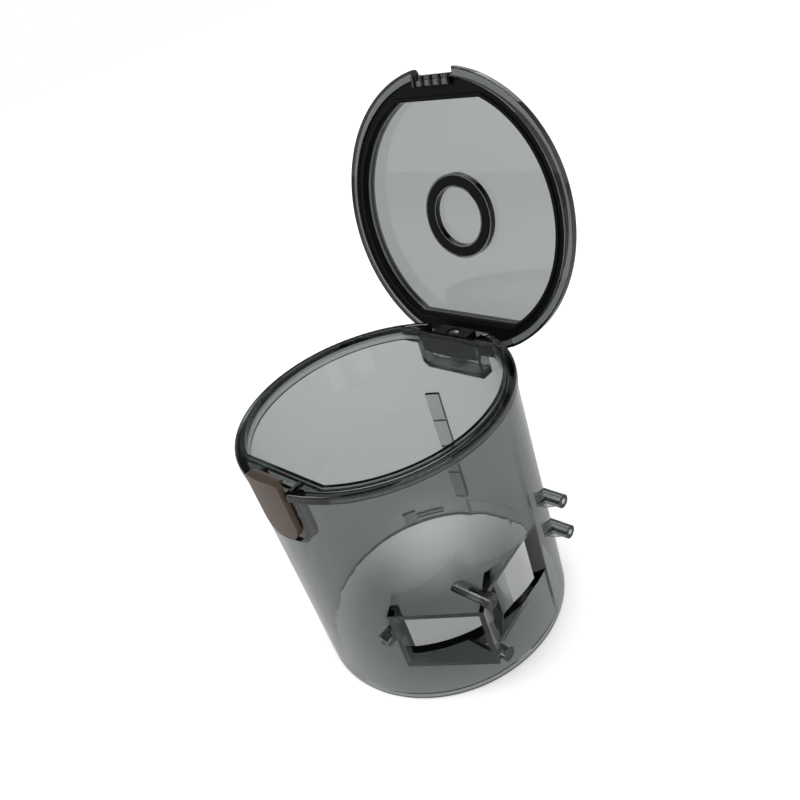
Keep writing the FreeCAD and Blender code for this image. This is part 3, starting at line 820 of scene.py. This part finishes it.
@dataclass(frozen=True)
class Lamp:
    """A square soft lamp that looks at the bin."""

    name: str
    place: tuple
    width: float
    power: float
    aim: tuple = (0.0, 0.0, 0.08)

    def make(self) -> None:
        """Build the lamp."""
        data = bpy.data.lights.new(self.name, "AREA")
        data.size = self.width
        data.energy = self.power
        lamp = bpy.data.objects.new(self.name, data)
        lamp.location = self.place
        lamp.rotation_mode = "QUATERNION"
        lamp.rotation_quaternion = (Vector(self.aim) - Vector(self.place)).to_track_quat("-Z", "Y")
        bpy.context.scene.collection.objects.link(lamp)
        LOG.info("hung %s", self.name)


def seen(sheet: NodeSheet, mirror_share: float) -> bpy.types.NodeSocket:
    """Tell the rays of sight from the rays of light.

    Args:
        sheet: The sheet of nodes.
        mirror_share: What a mirror ray gets.

    Returns:
        1 for camera and refracted rays, the share for mirror rays, else 0.
    """
    path = sheet.add("ShaderNodeLightPath")
    mirror = sheet.maths("MULTIPLY", path.outputs["Is Glossy Ray"], mirror_share)
    either = sheet.maths("MAXIMUM", path.outputs["Is Camera Ray"], mirror)
    return sheet.maths("MAXIMUM", either, path.outputs["Is Transmission Ray"])


@dataclass(frozen=True)
class PaleFloor:
    """Level pale sheet under the bin that keeps its shadow."""

    width: float = 6.0
    gap: float = 0.1 * MM
    paper: float = 0.86
    near_lift: float = 0.55
    far_lift: float = 0.66
    far_reach: Range = (0.2, 0.9)
    shade_lift: float = 0.05
    shade_reach: Range = (32.0 * MM, 68.0 * MM)
    glow_place: tuple = (-30.0 * MM, 28.0 * MM, 0.0)
    glow_reach: float = 44.0 * MM
    glow_lift: float = 0.85
    mirror_share: float = 0.1

    def lift(self, sheet: NodeSheet) -> bpy.types.NodeSocket:
        """How much the paper is lifted to white.

        Args:
            sheet: The sheet of nodes.

        Returns:
            The lift, held low under the bin to paint shade on top of its real shadow, with a painted pool of
            light at the back where light gathers in the cup.
        """
        place = sheet.own_place()
        away = sheet.measure("LENGTH", place)
        open_floor = sheet.spread(away, self.far_reach, (self.near_lift, self.far_lift), soft=True)
        # painted shadow: the lift drops to shade_lift under the bin
        shade = sheet.spread(away, self.shade_reach, (self.shade_lift, open_floor), soft=True)
        # painted pool of light on the floor at the back, inside the cup
        from_glow = sheet.measure("DISTANCE", place, self.glow_place)
        glow = sheet.spread(from_glow, (0.0, self.glow_reach), (self.glow_lift, 0.0), soft=True)
        return sheet.maths("ADD", shade, glow)

    def make(self) -> None:
        """Build the floor."""
        half = self.width / 2
        corners = [(-half, -half, 0), (half, -half, 0), (half, half, 0), (-half, half, 0)]
        mesh = bpy.data.meshes.new("floor")
        mesh.from_pydata(corners, [], [(0, 1, 2, 3)])
        floor = bpy.data.objects.new("floor", mesh)
        bpy.context.scene.collection.objects.link(floor)
        floor.location.z = CAD_BOX[0].z - self.gap
        material, sheet, output = blank_material("pale_floor")
        paper = sheet.add("ShaderNodeBsdfDiffuse", inputs={"Color": (*[self.paper] * 3, 1.0)})
        strength = sheet.maths("MULTIPLY", seen(sheet, self.mirror_share), self.lift(sheet))
        lifted = sheet.add("ShaderNodeEmission", inputs={"Color": WHITE, "Strength": strength})
        both = sheet.add("ShaderNodeAddShader", inputs={
            0: paper.outputs["BSDF"], 1: lifted.outputs["Emission"]})
        sheet.tree.links.new(both.outputs["Shader"], output.inputs["Surface"])
        mesh.materials.append(material)
        LOG.info("laid %s", floor.name)


@dataclass(frozen=True)
class Surround:
    """White to the camera, dim overhead for mirrored and refracted sight, and a softer light elsewhere."""

    light: float = 0.4
    ceiling: float = 0.04
    dims_between: Range = (0.1, 0.6)

    def make(self) -> None:
        """Build the world."""
        world = bpy.data.worlds.new("surround")
        world.use_nodes = True
        bpy.context.scene.world = world
        sheet = NodeSheet(world.node_tree)
        way = sheet.add("ShaderNodeTexCoord")
        parts = sheet.add("ShaderNodeSeparateXYZ", inputs={"Vector": way.outputs["Generated"]})
        path = sheet.add("ShaderNodeLightPath")
        overhead = sheet.spread(parts.outputs["Z"], self.dims_between, (1.0, self.ceiling), soft=True)
        mirrored = sheet.spread(seen(sheet, 1.0), (0.0, 1.0), (self.light, overhead))
        strength = sheet.spread(path.outputs["Is Camera Ray"], (0.0, 1.0), (mirrored, 1.0))
        light = sheet.add("ShaderNodeBackground", inputs={"Color": WHITE, "Strength": strength})
        sheet.add("ShaderNodeOutputWorld", inputs={"Surface": light.outputs["Background"]})
        LOG.info("lit %s", world.name)


@dataclass(frozen=True)
class Studio:
    """Floor, surround and lamps."""

    floor: PaleFloor = PaleFloor()
    surround: Surround = Surround()
    lamps: tuple[Lamp, ...] = (
        Lamp("key_lamp", place=(-0.7, -0.9, 1.3), width=0.9, power=12.0 * WATT),
        Lamp("fill_lamp", place=(1.2, -0.4, 0.9), width=1.0, power=7.0 * WATT),
        Lamp("back_lamp", place=(-0.3, 1.3, 1.1), width=0.9, power=4.0 * WATT),
    )

    def make(self) -> None:
        """Build the studio."""
        self.floor.make()
        self.surround.make()
        for lamp in self.lamps:
            lamp.make()


def main() -> None:
    """Dress the bin, light it and place the camera."""
    logging.basicConfig(level=logging.INFO, format="%(message)s")
    bpy.context.scene.view_settings.view_transform = "Standard"
    finishes = make_finishes()
    dresser = CadDresser(shading_tree(sharp_angle=math.radians(50.0)))
    dresser.dress(Part.CUP, finishes.cup_clear, edge_round=0.25 * MM)
    dresser.dress(Part.LID, finishes.lid_clear, edge_round=0.25 * MM)
    dresser.dress(Part.LID_SEAL, finishes.rubber, edge_round=0.2 * MM, swell=0.25 * MM)
    dresser.dress(Part.CENTRE_SEAL, finishes.rubber, edge_round=0.2 * MM, swell=0.12 * MM)
    dresser.dress(Part.BUTTON, finishes.bronze, edge_round=0.3 * MM)
    dresser.dress(Part.BRACKET, finishes.black, edge_round=0.25 * MM)
    dresser.dress(Part.SCREW, finishes.steel, edge_round=0.08 * MM)
    dresser.dress(Part.BUTTON_PIN, finishes.steel, edge_round=0.1 * MM)
    dresser.dress(Part.HINGE_PINS, finishes.steel, edge_round=0.1 * MM)
    SealBead().make(finishes.rubber)
    ScrewThread().make(finishes.steel)
    LeafSpring().make(finishes.steel)
    Studio().make()
    bpy.context.scene.camera = PhotoCamera().make()


if __name__ == "__main__":
    main()
